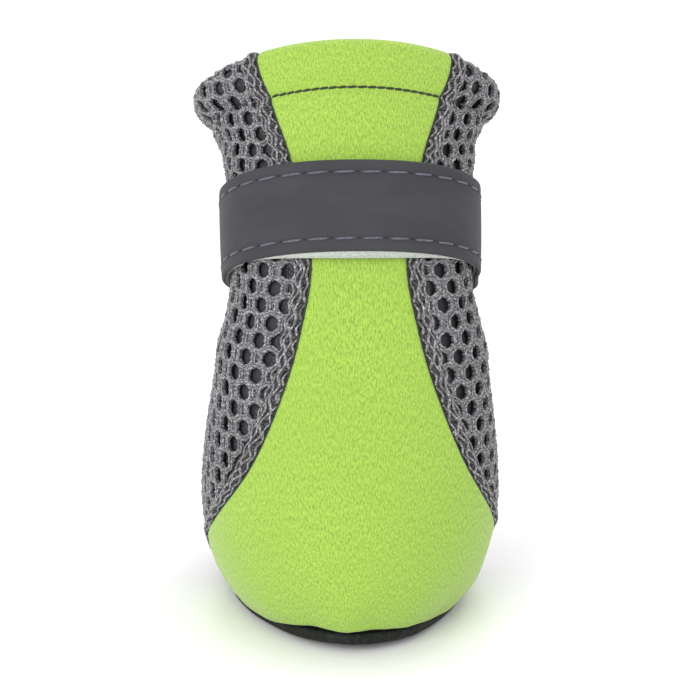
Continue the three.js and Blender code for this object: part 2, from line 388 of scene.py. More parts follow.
# ---------------------------------------------------------------------------------------------
# Sizes and colours that a user would change.
# ---------------------------------------------------------------------------------------------
def length(name, description, default):
    return bpy.props.FloatProperty(
        name=name, description=description, default=default, unit="LENGTH", precision=5
    )


def colour(name, description, default):
    return bpy.props.FloatVectorProperty(
        name=name, description=description, default=default, subtype="COLOR", size=3, min=0, max=1
    )


class DogBootSizes(bpy.types.PropertyGroup):
    """Sizes of the boot's cloth, yarn and thread"""

    pitch: length("Mesh pitch", "Distance between holes along a row of the air mesh", 3.9 * MM)
    row: length("Mesh row", "Distance between rows of holes", 2.9 * MM)
    hole: length("Mesh hole", "Radius of a hole across", 1.07 * MM)
    yarn: length("Mesh yarn", "Radius of the yarn round each hole", 0.22 * MM)
    edge: length("Seam allowance", "Width of the closed strip of mesh along a seam", 2.9 * MM)
    panel: length("Panel stand", "How far the front panel stands proud", 0.4 * MM)
    stitch: length("Strap stitch", "Length of one stitch of the strap", 3.3 * MM)
    stitch_pitch: length("Strap stitch pitch", "Distance from stitch to stitch on the strap", 4.4 * MM)
    stitch_inset: length("Strap stitch inset", "Distance of the strap's stitches from its edge", 2.1 * MM)
    thread: length("Thread", "Radius of the strap's thread", 0.2 * MM)
    dot: length("Sole dot", "Radius of a grip dot under the sole", 0.75 * MM)


class DogBootColours(bpy.types.PropertyGroup):
    """Colours of the boot's cloth, yarn and rubber"""

    lime: colour("Front panel", "Lime stretch cloth", (0.3, 0.468, 0.065))
    yarn: colour("Mesh yarn", "Light yarn round the holes", (0.35, 0.34, 0.355))
    net: colour("Mesh ground", "Darker ground between the yarns", (0.055, 0.053, 0.058))
    lining: colour("Lining", "Knitted lining behind the holes", (0.07, 0.066, 0.072))
    strap: colour("Strap", "Reflective coating of the strap", (0.046, 0.045, 0.052))
    backing: colour("Strap backing", "Pale backing of the strap", (0.44, 0.47, 0.42))
    strap_thread: colour("Strap thread", "Thread of the strap's stitches", (0.11, 0.107, 0.14))
    seam_thread: colour("Seam thread", "Thread of the panel's seams and hem", (0.018, 0.032, 0.012))
    sole: colour("Sole", "Soft black rubber", (0.006, 0.007, 0.006))
    tape: colour("Hook tape", "Black hook tape", (0.02, 0.02, 0.022))
    floor: colour("Floor", "Plain pale floor", (0.93, 0.93, 0.93))


def sizes():
    return bpy.context.scene.dog_boot_sizes


def colours():
    return bpy.context.scene.dog_boot_colours


# ---------------------------------------------------------------------------------------------
# Materials. Arithmetic on a Value adds Math nodes.
# ---------------------------------------------------------------------------------------------
class Value:
    """One output of a material's node"""

    def __init__(self, shader, socket):
        self.shader, self.socket = shader, socket

    def math(self, operation, *others):
        return self.shader.math(operation, self, *others)

    def __add__(self, other):
        return self.math("ADD", other)

    def __mul__(self, other):
        return self.math("MULTIPLY", other)

    __radd__, __rmul__ = __add__, __mul__


class Shader:
    """One material and its Principled surface"""

    def __init__(self, name, **surface):
        self.material = bpy.data.materials.new(name)
        self.material.use_nodes = True
        self.tree = self.material.node_tree
        self.tree.nodes.clear()
        self.surface = self.tree.nodes.new("ShaderNodeBsdfPrincipled")
        output = self.tree.nodes.new("ShaderNodeOutputMaterial")
        self.tree.links.new(self.surface.outputs[0], output.inputs[0])
        self.set(**surface)

    def set(self, **surface):
        for name, value in surface.items():
            socket = name.replace("_", " ").title().replace("Ior", "IOR")
            self.feed(self.surface.inputs[socket], value)
        return self

    def feed(self, socket, value):
        if isinstance(value, Value):
            self.tree.links.new(value.socket, socket)
        elif socket.type == "RGBA":
            socket.default_value = (*value, 1)
        else:
            socket.default_value = value

    def add(self, kind, settings=None, inputs=None, output=0):
        """A node of a type, with its settings made first and then its sockets fed."""
        node = self.tree.nodes.new("ShaderNode" + kind)
        for name, value in (settings or {}).items():
            setattr(node, name, value)
        for name, value in (inputs or {}).items():
            self.feed(node.inputs[name], value)
        return Value(self, node.outputs[output])

    def math(self, operation, *values):
        return self.add("Math", {"operation": operation}, dict(enumerate(values)))

    def flat_place(self, x=1.0, y=1.0, turn=0.0):
        """The piece's own flat cloth, as x and y repeats in a millimetre."""
        uv = self.add("UVMap", {"uv_map": "flat"})
        scale = (x / MM / UV_SCALE, y / MM / UV_SCALE, 1)
        return self.add("Mapping", inputs={"Vector": uv, "Scale": scale, "Rotation": (0, 0, turn)})

    def place(self, repeats):
        """Object coordinates, as repeats in a millimetre."""
        where = self.add("TexCoord", output=3)
        return self.add("Mapping", inputs={"Vector": where, "Scale": (repeats / MM,) * 3})

    def noise(self, vector, detail=2.0, rough=0.55):
        given = {"Vector": vector, "Scale": 1.0, "Detail": detail, "Roughness": rough}
        return self.add("TexNoise", inputs=given)

    def fit(self, value, low, high, to_low=0.0, to_high=1.0):
        """A value's range moved to another, smoothly and without overshoot."""
        given = {"Value": value, "From Min": low, "From Max": high, "To Min": to_low, "To Max": to_high}
        return self.add("MapRange", {"interpolation_type": "SMOOTHSTEP"}, given)

    def mix(self, factor, one, other):
        return self.add("Mix", {"data_type": "RGBA"}, {0: factor, 6: one, 7: other}, output=2)

    def bump(self, height, strength, distance):
        given = {"Height": height, "Strength": strength, "Distance": distance}
        return self.add("Bump", inputs=given)

    def toned(self, value, low, high, base, dark, light):
        """A colour that goes from a darker to a lighter share of base as a value rises."""
        return self.mix(self.fit(value, low, high), shaded(base, dark), shaded(base, light))

    def finished(self, tone, height, strength, distance, **surface):
        """The material, once its colour and its bump, in millimetres, are set."""
        bump = self.bump(height, strength, distance * MM)
        return self.set(base_color=tone, normal=bump, **surface).material


UV_SCALE = 10.0  # UV units in a metre
BACKING_SHADE_FADE = (-10.0, -4.0)  # millimetres of y over which the strap's backing is painted darker, as painted shade under the strap towards the sides and back


def shaded(rgb, share):
    """A colour made lighter or darker."""
    return tuple(min(1.0, channel * share) for channel in rgb)


def lime_knit():
    """Stretch cloth of fine flecks and ribs, with a broad, faint change of tone."""
    shader = Shader("lime_knit", roughness=0.78, specular_ior_level=0.25)
    shader.set(sheen_weight=0.25, sheen_roughness=0.5)
    base = tuple(colours().lime)
    flecks = shader.noise(shader.flat_place(5.2, 2.0, 0.45), 3.0, 0.6)
    ribs = shader.noise(shader.flat_place(5.4, 1.0), 1.0)
    broad = shader.noise(shader.place(0.05), 1.0)
    grain = flecks * 0.65 + ribs * 0.35
    tone = shader.toned(grain, 0.36, 0.62, base, 0.7, 1.24)
    tone = shader.mix(shader.fit(broad, 0.35, 0.7) * 0.2, tone, shaded(base, 0.9))
    return shader.finished(tone, grain, 0.5, 0.14)


def mesh_ground(name, share):
    """The air mesh's darker knit, at a share of its colour."""
    shader = Shader(name, roughness=0.9, specular_ior_level=0.2)
    loops = shader.noise(shader.flat_place(2.6, 2.6), 3.0, 0.65)
    tone = shader.toned(loops, 0.4, 0.62, shaded(colours().net, share), 0.35, 2.6)
    return shader.finished(tone, loops, 0.8, 0.2)


def mesh_yarn():
    """The air mesh's light yarn, with painted shade between its filaments."""
    shader = Shader("mesh_yarn", roughness=0.7, sheen_weight=0.2, specular_ior_level=0.35)
    base = tuple(colours().yarn)
    twist = shader.noise(shader.flat_place(2.3, 2.3), 3.0, 0.7)
    filaments = shader.noise(shader.place(4.0), 2.0, 0.6)
    tone = shader.toned(twist, 0.42, 0.6, base, 0.2, 1.5)
    # Painted shade: the yarn goes to 0.4 of its colour between the filaments, where their bump is low.
    tone = shader.mix(shader.fit(filaments, 0.42, 0.58), shaded(base, 0.4), tone)
    return shader.finished(tone, filaments, 0.7, 0.12)


def lining_knit():
    shader = Shader("lining_knit", roughness=0.92, specular_ior_level=0.15)
    knit = shader.noise(shader.flat_place(1.6, 2.4), 2.0, 0.6)
    tone = shader.toned(knit, 0.36, 0.64, colours().lining, 0.55, 1.5)
    return shader.finished(tone, knit, 0.5, 0.15)


def strap_coat():
    """The reflective coating, clouded and finely grained."""
    shader = Shader("strap_coat", specular_ior_level=0.2, sheen_weight=0.04)
    clouds = shader.noise(shader.flat_place(0.09, 0.2), 2.0)
    grain = shader.noise(shader.flat_place(5.0, 5.0), 2.0, 0.6)
    tone = shader.toned(clouds, 0.35, 0.68, colours().strap, 0.93, 1.08)
    rough = shader.fit(grain, 0.3, 0.7, 0.62, 0.78)
    return shader.finished(tone, grain, 0.2, 0.05, roughness=rough)


def brushed_loop(name, base, fineness, contrast, sides=None):
    """Napped cloth, painted darker towards the boot's sides and back, as painted shade, where a shade colour
    is given.
    """
    shader = Shader(name, roughness=0.95, sheen_weight=0.3, specular_ior_level=0.15)
    nap = shader.noise(shader.place(fineness), 3.0, 0.65)
    tone = shader.toned(nap, 0.34, 0.66, base, 1 - contrast, 1 + contrast)
    # Painted shade: towards the sides and back the cloth goes over to the given darker colour.
    if sides:
        forwards = shader.add("SeparateXYZ", inputs={"Vector": shader.place(1.0)}, output=1)
        tone = shader.mix(shader.fit(forwards, *BACKING_SHADE_FADE), tone, sides)
    return shader.finished(tone, nap, 0.7, 0.2)


def twisted_thread(name, base):
    shader = Shader(name, roughness=0.55, specular_ior_level=0.4, sheen_weight=0.1)
    twist = shader.noise(shader.place(4.0), 1.0)
    return shader.finished(shader.toned(twist, 0.36, 0.64, base, 0.6, 1.25), twist, 0.5, 0.08)


def ribbed_tape():
    """Woven tape, ribbed across and a little fuzzy."""
    shader = Shader("ribbed_tape", roughness=0.75, specular_ior_level=0.3, sheen_weight=0.15)
    given = {"Vector": shader.flat_place(0.35, 0.35), "Distortion": 0.6}
    ribs = shader.add("TexWave", {"bands_direction": "Y"}, given)
    fuzz = shader.noise(shader.place(3.0), 2.0)
    tone = shader.toned(fuzz, 0.36, 0.64, colours().net, 0.7, 1.6)
    return shader.finished(tone, ribs * 0.7 + fuzz * 0.3, 0.6, 0.15)


def sole_rubber():
    """Soft pebbled rubber, duller where it holds dust."""
    shader = Shader("sole_rubber", specular_ior_level=0.3)
    pebble = shader.noise(shader.place(1.7), 3.0, 0.6)
    dust = shader.noise(shader.place(0.35), 2.0)
    tone = shader.toned(pebble, 0.4, 0.7, colours().sole, 1.0, 2.6)
    rough = shader.fit(dust, 0.35, 0.65, 0.6, 0.8)
    return shader.finished(tone, pebble, 0.9, 0.35, roughness=rough)


def plain_floor():
    pale = tuple(colours().floor)
    return Shader("plain_floor", base_color=pale, roughness=0.9, specular_ior_level=0.1).material


# ---------------------------------------------------------------------------------------------
# Making pieces.
# ---------------------------------------------------------------------------------------------
def between(low, high, place):
    """What lies between low and high, where place goes from -1 to 1."""
    return low + (place + 1) / 2 * (high - low)


def flat_grid(across, up, cut):
    """A flat sheet: cut turns x and y from -1 to 1 into places in the flat cloth."""
    bm = bmesh.new()
    bmesh.ops.create_grid(bm, x_segments=across, y_segments=up, size=1)
    return placed(bm, lambda x, y, z: np.stack(cut(x, y), -1))


def placed(bm, move):
    """Moves every vertex of a mesh by a function of arrays of x, y and z."""
    points = np.array([v.co for v in bm.verts]).reshape(-1, 3)
    for vertex, point in zip(bm.verts, move(*points.T)):
        vertex.co = point
    return bm


def laid(bm, chart):
    """Lays flat cloth on the boot, and keeps its flat place as its UV map."""
    uv = bm.loops.layers.uv.new("flat")
    for face in bm.faces:
        for loop in face.loops:
            loop[uv].uv = loop.vert.co.xy * UV_SCALE
    return placed(bm, chart)


def welded(bm, distance=0.01 * MM):
    bmesh.ops.remove_doubles(bm, verts=bm.verts[:], dist=distance)
    return bm


def thickened(bm, thickness):
    """Gives a sheet its thickness, on the side away from its faces."""
    bm.normal_update()
    bmesh.ops.solidify(bm, geom=bm.faces[:], thickness=thickness)
    return bm


def closed(bm):
    """Fills the open ends of a tube."""
    bmesh.ops.holes_fill(bm, edges=[e for e in bm.edges if e.is_boundary], sides=0)
    return bm


def piece(bm, name, material, slot, *replaces):
    """The finished piece, riding on the boot's one body."""
    mesh = bpy.data.meshes.new(name)
    bm.to_mesh(mesh)
    bm.free()
    mesh.polygons.foreach_set("use_smooth", [True] * len(mesh.polygons))
    mesh.materials.append(material)
    shape = bpy.data.objects.new(name, mesh)
    bpy.context.scene.collection.objects.link(shape)
    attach(shape, "root")
    if replaces:
        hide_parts(*replaces)
    return shape


def flat_cord(path, radius, steps, sides=6):
    """A round cord lying in the flat cloth along path, a function from 0 to 1 to x, y and z."""
    bm = bmesh.new()
    bmesh.ops.create_grid(bm, x_segments=sides, y_segments=steps, size=1)

    def wrap(x, y, z):
        share = (y + 1) / 2
        middle = np.stack(path(share), -1)
        after, before = (np.stack(path(np.clip(share + s, 0, 1)), -1) for s in (1e-3, -1e-3))
        ahead = after - before
        side = unit(np.cross(ahead, np.broadcast_to((0.0, 0.0, 1.0), ahead.shape)))
        over = unit(np.cross(side, ahead))
        angle = (x * math.pi)[:, None]
        return middle + (side * np.cos(angle) + over * np.sin(angle)) * radius

    return welded(placed(bm, wrap), 0.2 * radius * math.pi / sides)


def copies(base, places):
    """Copies of a small flat shape, each at (x, y, z, angle)."""
    small = bpy.data.meshes.new("small")
    base.to_mesh(small)
    base.free()
    bm = bmesh.new()
    for x, y, z, angle in places:
        before = len(bm.verts)
        bm.from_mesh(small)
        bm.verts.ensure_lookup_table()
        matrix = Matrix.Translation((x, y, z)) @ Matrix.Rotation(angle, 4, "Z")
        bmesh.ops.transform(bm, matrix=matrix, verts=bm.verts[before:])
    bpy.data.meshes.remove(small)
    return bm


def stitch(long, radius):
    """One stitch of thread along x, rounded at its ends."""
    bm = bmesh.new()
    bmesh.ops.create_uvsphere(bm, u_segments=8, v_segments=6, radius=1)

    def shape(x, y, z):
        ends = np.sign(z) * (np.abs(z) ** 0.6)
        return np.stack([ends * long / 2, y * radius, x * radius], -1)

    placed(bm, shape)
    bmesh.ops.recalc_face_normals(bm, faces=bm.faces[:])
    return bm


def stitched(long, radius, places, chart):
    """Stitches sewn into the cloth, each at (x, y, z, angle) in its flat cloth."""
    return laid(copies(stitch(long, radius), places), chart)


def even_places(start, end, pitch):
    """Middles of evenly spaced stitches between two ends."""
    count = max(1, round((end - start) / pitch))
    return [start + (end - start) * (k + 0.5) / count for k in range(count)]


# ---------------------------------------------------------------------------------------------
# Operators, one for each piece or group of like pieces.
# ---------------------------------------------------------------------------------------------
PANEL_TOP = INSIDE + 8 * MM  # height in the flat cloth where it ends inside the collar
DROOP = 1.2 * MM  # how far the cloth hangs over the sole's edge at the sides
TIP, TIP_FADE = math.sin(math.radians(12)), 0.25  # the toe's tip, as sines of half its turn


def droop(turn):
    """How far the cloth hangs at a turn: not at all at the toe's tip, where the sole shows."""
    return DROOP * smooth((np.abs(np.sin(turn / 2)) - TIP) / TIP_FADE)


def from_edge(along, across, first, final, low, high):
    """How far in from its nearest edge a place in a flat strip is."""
    return np.minimum(np.minimum(across - low, high - across), np.minimum(along - first, final - along))


def edge_round(distance, radius):
    """How far a rounded edge drops at a distance in from it."""
    share = np.clip(1 - distance / radius, 0, 1)
    return radius * (1 - np.sqrt(1 - share**2))


class DOGBOOT_OT_front_panel(bpy.types.Operator):
    """Lays the lime stretch panel from the toe over the collar, with its turned-in hem"""

    bl_idname = "dogboot.front_panel"
    bl_label = "Front Panel"

    def execute(self, context):
        def cut(x, y):
            share = 0.7 * np.sin(x * math.pi / 2) + 0.3 * x  # closer rows at the edges, which are round
            low = -droop(share * SEAM_TURN[0])
            height = between(low, PANEL_TOP, y)
            half = panel_half(height)
            drop = edge_round(half * (1 - np.abs(share)), 1.1 * MM)
            drop = drop + 0.7 * edge_round(height - low, 0.9 * MM)
            return share * half, height, sizes().panel - drop

        bm = laid(thickened(flat_grid(72, 190, cut), 1.3 * MM), panel_chart)
        piece(bm, "front_panel", lime_knit(), "mesh", "upper")
        return {"FINISHED"}


def net_middles():
    """The middle of every hole of the air mesh that clears the seams, in its flat cloth."""
    pitch, row = sizes().pitch, sizes().row
    k, n = (index.ravel() for index in np.meshgrid(np.arange(-2, 50), np.arange(-24, 24)))
    x, y = (n + (k % 2) / 2 + 0.25) * pitch, 1.9 * MM - DROOP + k * row
    height, turn = net_place(x, y)
    level = level_at(height)
    arc = looked_up(FROM_TOE, level * (len(LEVELS) - 1), np.abs(turn) / math.pi * (len(TURNS) - 1))
    from_seam, from_back = arc - panel_half(height), half_girth(level) - arc
    kept = (from_seam > sizes().edge - 0.1 * pitch) & (from_back > 0.45 * pitch)
    kept &= (height > 1.8 * MM - DROOP) & (height < INSIDE + 7 * MM)
    return [(float(a), float(b), 0.0, 0.0) for a, b in zip(x[kept], y[kept])]


TALL, SIX_SIDED = 0.2, 0.06  # how much taller than wide a hole is, and how far from round


def hole_shape(angle):
    """A hole's reach at an angle from x, in shares of its radius across."""
    return 1 + TALL * np.sin(angle) ** 2 - SIX_SIDED * np.cos(6 * angle)


def cell_outline():
    """The outline of one hole's share of the mesh: six corners and the middles between them."""
    half, row = sizes().pitch / 2, sizes().row
    top, shoulder = (half**2 + row**2) / (2 * row), (row**2 - half**2) / (2 * row)
    right, left = [(half, -shoulder), (half, shoulder)], [(-half, shoulder), (-half, -shoulder)]
    corners = [*right, (0, top), *left, (0, -top)]
    outline = []
    for k, corner in enumerate(corners):
        following = corners[(k + 1) % 6]
        outline += [corner, ((corner[0] + following[0]) / 2, (corner[1] + following[1]) / 2)]
    return [Vector((*point, 0)) for point in outline]


class DOGBOOT_OT_air_mesh(bpy.types.Operator):
    """Lays the knitted air mesh of the sides and back: its ground, and the yarn round each hole"""

    bl_idname = "dogboot.air_mesh"
    bl_label = "Air Mesh"

    # Each ring of yarn: its distance out from the hole's edge and its thickness, in yarn radii, and
    # its height in millimetres.
    RINGS = {"upper": (1.0, 1.0, 0.16), "lower": (2.75, 0.9, 0.04)}
    # The ground's steps in to the hole: radius, in shares of the hole's, and height in millimetres.
    STEPS = ((1.35, 0.1), (1.0, 0.0))
    SUNK = -0.15  # height of the ground's corners, in millimetres

    def ground_cell(self):
        bm = bmesh.new()
        place = bm.verts.layers.int.new("place")
        ring = bmesh.ops.create_circle(bm, segments=12, radius=1)["verts"]
        outline = cell_outline()
        for k, vertex in enumerate(ring):
            vertex[place] = k
            vertex.co = outline[k] + Vector((0, 0, self.SUNK * MM if k % 2 == 0 else 0.0))
        edges = bm.edges[:]
        for radius, rise in self.STEPS:
            grown = bmesh.ops.extrude_edge_only(bm, edges=edges)["geom"]
            edges = [g for g in grown if isinstance(g, bmesh.types.BMEdge)]
            for vertex in (g for g in grown if isinstance(g, bmesh.types.BMVert)):
                toward = outline[vertex[place]].normalized()
                reach = sizes().hole * radius * hole_shape(math.atan2(toward.y, toward.x))
                vertex.co = toward * reach + Vector((0, 0, rise * MM))
        bmesh.ops.recalc_face_normals(bm, faces=bm.faces[:])
        bm.normal_update()
        if sum(face.normal.z for face in bm.faces) < 0:
            bmesh.ops.reverse_faces(bm, faces=bm.faces[:])
        return bm

    def yarn_ring(self, radius, yarn, lift):
        steps, sides = 18, 4
        bm = bmesh.new()
        bmesh.ops.create_grid(bm, x_segments=steps, y_segments=sides, size=1)

        def ring(x, y, z):
            angle, around = x * math.pi, y * math.pi
            strand = yarn * (1 + 0.2 * np.cos(steps / 2 * angle))
            reach = radius * hole_shape(angle) + strand * np.cos(around)
            rise = lift + 0.09 * MM * np.cos(3 * angle) + strand * np.sin(around)
            return np.stack([reach * np.cos(angle), reach * np.sin(angle), rise], -1)

        welded(placed(bm, ring))
        bmesh.ops.recalc_face_normals(bm, faces=bm.faces[:])
        return bm

    def execute(self, context):
        middles = net_middles()
        ground = thickened(welded(copies(self.ground_cell(), middles)), 0.7 * MM)
        piece(laid(ground, net_chart), "mesh_ground", mesh_ground("mesh_ground", 1.7), "mesh", "upper")
        material = mesh_yarn()
        for name, (out, thin, rise) in self.RINGS.items():
            ring = self.yarn_ring(sizes().hole + out * sizes().yarn, thin * sizes().yarn, rise * MM)
            piece(laid(copies(ring, middles), net_chart), f"mesh_yarn_{name}", material, "mesh")
        return {"FINISHED"}


class DOGBOOT_OT_mesh_edges(bpy.types.Operator):
    """Lays the closed, rolled strip of mesh along each seam, with the yarns caught in it"""

    bl_idname = "dogboot.mesh_edges"
    bl_label = "Mesh Edges"

    # The strip's distance in from the seam and height over the cloth, in millimetres.
    PROFILE = (
        (0, -0.8), (0.35, 0.0), (0.9, 0.5), (1.6, 0.55),
        (2.4, 0.3), (3.1, 0.0), (3.9, -0.45), (4.6, -0.75),
    )
    # Each yarn's distance in from the seam, swing and length of wave, in millimetres, and phase.
    STRANDS = ((0.45, 0.25, 2.3, 0.0), (1.2, 0.5, 3.1, 2.0), (1.9, 0.5, 2.7, 4.0), (2.6, 0.45, 2.5, 1.0))

    def execute(self, context):
        ins, rises = (np.array(column) * MM for column in zip(*self.PROFILE))
        # The strip is a darker copy of the mesh ground: partly its own darker knit, partly painted shade
        # along the seam.
        material = mesh_ground("mesh_edge", 0.7)
        light = mesh_yarn()
        for side, name in ((1, "left"), (-1, "right")):

            def cut(x, y, side=side):
                height = between(-DROOP, PANEL_TOP, y)
                inwards = (1 - side * x) / 2 * ins[-1]
                knots = 0.14 * MM * np.sin(height / (0.55 * MM)) * np.sin(inwards / (0.32 * MM))
                rise = np.interp(inwards, ins, rises) + knots * bell((inwards - 1.6 * MM) / (1.5 * MM))
                return side * (mesh_half(height) - inwards), height, rise

            bm = laid(thickened(flat_grid(18, 420, cut), 0.5 * MM), mesh_chart)
            piece(bm, f"mesh_edge_{name}", material, "mesh")
            for strand, (inwards, swing, wave, phase) in enumerate(self.STRANDS):

                def path(t, side=side, inwards=inwards, swing=swing, wave=wave, phase=phase):
                    height = t * (PANEL_TOP + DROOP - 1 * MM) + 0.5 * MM - DROOP
                    along = 2 * math.pi * height / (wave * MM) + phase
                    swung = np.sin(along + 1.1 * np.sin(height / (3.7 * MM)))
                    run = (inwards + swing * (0.75 + 0.25 * np.sin(height / (5.3 * MM) + phase)) * swung) * MM
                    rise = np.interp(run, ins, rises) + 0.08 * MM
                    return side * (mesh_half(height) - run), height, rise

                cord = closed(laid(flat_cord(path, 0.19 * MM, 420, 5), mesh_chart))
                piece(cord, f"mesh_edge_yarn_{name}_{strand}", light, "mesh")
        return {"FINISHED"}


class DOGBOOT_OT_lining(bpy.types.Operator):
    """Lays the dark knitted lining inside the boot, up to the hem"""

    bl_idname = "dogboot.lining"
    bl_label = "Lining"

    def execute(self, context):
        def cut(x, y):
            height = between(0, INSIDE + 5 * MM, y)
            closer = 0.4 * smooth((height - COLLAR + 4 * MM) / (3 * MM))
            return x, height, (closer - 1.2) * MM

        bm = laid(flat_grid(120, 120, cut), whole_chart)
        bmesh.ops.recalc_face_normals(welded(bm), faces=bm.faces[:])
        piece(thickened(bm, 0.4 * MM), "lining", lining_knit(), "liner", "upper")
        return {"FINISHED"}


class DOGBOOT_OT_seams(bpy.types.Operator):
    """Sews the panel's two seams and the collar's hem"""

    bl_idname = "dogboot.seams"
    bl_label = "Seams"

    def execute(self, context):
        thread = twisted_thread("seam_thread", colours().seam_thread)
        grey_thread = twisted_thread("mesh_thread", shaded(colours().net, 0.8))
        for side, name in ((1, "left"), (-1, "right")):

            def path(t, side=side):
                height = t * (PANEL_TOP + DROOP - 0.6 * MM) + 0.3 * MM - DROOP
                return side * mesh_half(height), height, np.full(t.shape, -0.3 * MM)

            cord = closed(laid(flat_cord(path, 0.36 * MM, 220, 6), mesh_chart))
            piece(cord, f"seam_{name}", thread, "mesh")
            heights = even_places(1 * MM - DROOP, PANEL_TOP - 2 * MM, 1.9 * MM)
            places = [(side * float(mesh_half(np.array(h))), h, 0.02 * MM, side * 0.5) for h in heights]
            bm = stitched(1.25 * MM, 0.17 * MM, places, mesh_chart)
            piece(bm, f"seam_stitches_{name}", thread, "mesh")
        self.back_tape(grey_thread)
        self.hem(thread, grey_thread)
        return {"FINISHED"}

    def hem(self, thread, grey_thread):
        """The hem's row of stitches, on the panel and on the mesh."""
        height = np.array(COLLAR - HEM)
        half = float(panel_half(height)) - 0.6 * MM
        seam = float(seam_turn(height))
        rows = [(x, COLLAR - hem_depth(x / half * seam)) for x in even_places(-half, half, 1.5 * MM)]
        places = [(x, y, sizes().panel + 0.02 * MM, 0.08) for x, y in rows]
        piece(stitched(1.5 * MM, 0.24 * MM, places, panel_chart), "hem_stitches_front", thread, "mesh")
        half = float(mesh_half(height)) - 1.2 * MM
        rows = np.array(even_places(-half, half, 2.9 * MM))
        rows = zip(rows, COLLAR - hem_depth(turn_from_back(height, rows)))
        places = [(x, y, 0.35 * MM, 0.06) for x, y in rows]
        piece(stitched(2.2 * MM, 0.2 * MM, places, mesh_chart), "hem_stitches_mesh", grey_thread, "mesh")

    def back_tape(self, thread):
        """The tape that closes the mesh up the back's middle, with its two rows of stitches."""
        half = 2.7 * MM

        def cut(x, y):
            stand = 0.75 * MM - edge_round(half * (1 - np.abs(x)), 0.5 * MM)
            return x * half, between(-DROOP, PANEL_TOP, y), stand

        bm = laid(thickened(flat_grid(14, 200, cut), 0.6 * MM), mesh_chart)
        piece(bm, "back_tape", ribbed_tape(), "mesh")
        heights = even_places(0, PANEL_TOP - 1 * MM, 2.4 * MM)
        row = half - 0.75 * MM
        places = [(x, h, 0.74 * MM, math.pi / 2) for x in (-row, row) for h in heights]
        piece(stitched(1.7 * MM, 0.16 * MM, places, mesh_chart), "back_tape_stitches", thread, "mesh")


class DOGBOOT_OT_strap(bpy.types.Operator):
    """Wraps the coated strap, its pale backing and its stitches round the ankle"""

    bl_idname = "dogboot.strap"
    bl_label = "Strap"

    def execute(self, context):
        inset = sizes().stitch_inset

        def coat(x, y):
            along, across = between(0, STRAP_LENGTH, x), between(0, STRAP_WIDTH, y)
            edge = from_edge(along, across, 0, STRAP_LENGTH, 0, STRAP_WIDTH)
            drop = edge_round(edge, 0.45 * MM) + 0.16 * MM * bell((edge - inset) / (0.5 * MM))
            puff = 0.1 * MM * np.sin(math.pi * across / STRAP_WIDTH)
            return along, across, STRAP_THICKNESS + puff - drop

        bm = laid(thickened(flat_grid(420, 44, coat), 0.6 * MM), strap_chart)
        piece(bm, "strap_coat", strap_coat(), "strap", "strap")

        def backing(x, y):
            along = between(0.2 * MM, STRAP_LENGTH - 0.2 * MM, x)
            degrees = np.interp(along, STRAP_RUN, STRAP_DEGREES)
            shows = 1.6 * MM * np.maximum(0, np.cos(np.radians(degrees))) ** 3 - 0.55 * MM
            low = np.where(degrees < UNDER_LAYER, 0.1 * MM, -shows)
            across = between(low, STRAP_WIDTH - 0.25 * MM, y)
            return along, across, np.full(along.shape, 0.66 * MM)

        bm = laid(thickened(flat_grid(300, 12, backing), 0.6 * MM), strap_chart)
        # Painted shade: towards the sides and back, where the backing lies under the strap, it is painted
        # close to the strap's dark colour.
        dark = shaded(colours().strap, 1.2)
        nap = brushed_loop("strap_backing", colours().backing, 3.0, 0.14, dark)
        piece(bm, "strap_backing", nap, "strap")
        self.stitches(inset)
        return {"FINISHED"}

    def stitches(self, inset):
        """The strap's two rows of stitches, its three rows across, and the needle holes between, as dark
        marks of painted shade.
        """
        size = sizes()
        proud = STRAP_THICKNESS - 0.02 * MM
        places = []
        for across in (inset, STRAP_WIDTH - inset):
            runs = even_places(inset, STRAP_LENGTH - inset, size.stitch_pitch)
            places += [(x, across, proud, 0.035) for x in runs]
        ends = [STRAP_LENGTH - inset, *(along_strap(degrees) for degrees in CROSS_ROWS)]
        uprights = even_places(inset, STRAP_WIDTH - inset, size.stitch_pitch * 0.85)
        places += [(x, y, proud, math.pi / 2) for x in ends for y in uprights]
        thread = twisted_thread("strap_thread", colours().strap_thread)
        piece(stitched(size.stitch, size.thread, places, strap_chart), "strap_stitches", thread, "strap")
        gap = size.stitch_pitch / 2
        holes = [
            (x + gap * math.cos(a), y + gap * math.sin(a), proud + 0.02 * MM, a) for x, y, _, a in places
        ]
        low, high = inset * 0.9, STRAP_WIDTH - inset * 0.9
        holes = [hole for hole in holes if low < hole[1] < high and hole[0] < STRAP_LENGTH - inset]
        # Painted shade: each needle hole is a small dark mark on the strap's face.
        hole_shade_marks = stitched(0.55 * MM, 0.16 * MM, holes, strap_chart)
        dark = twisted_thread("needle_hole", shaded(colours().strap, 0.25))
        piece(hole_shade_marks, "strap_needle_holes", dark, "strap")


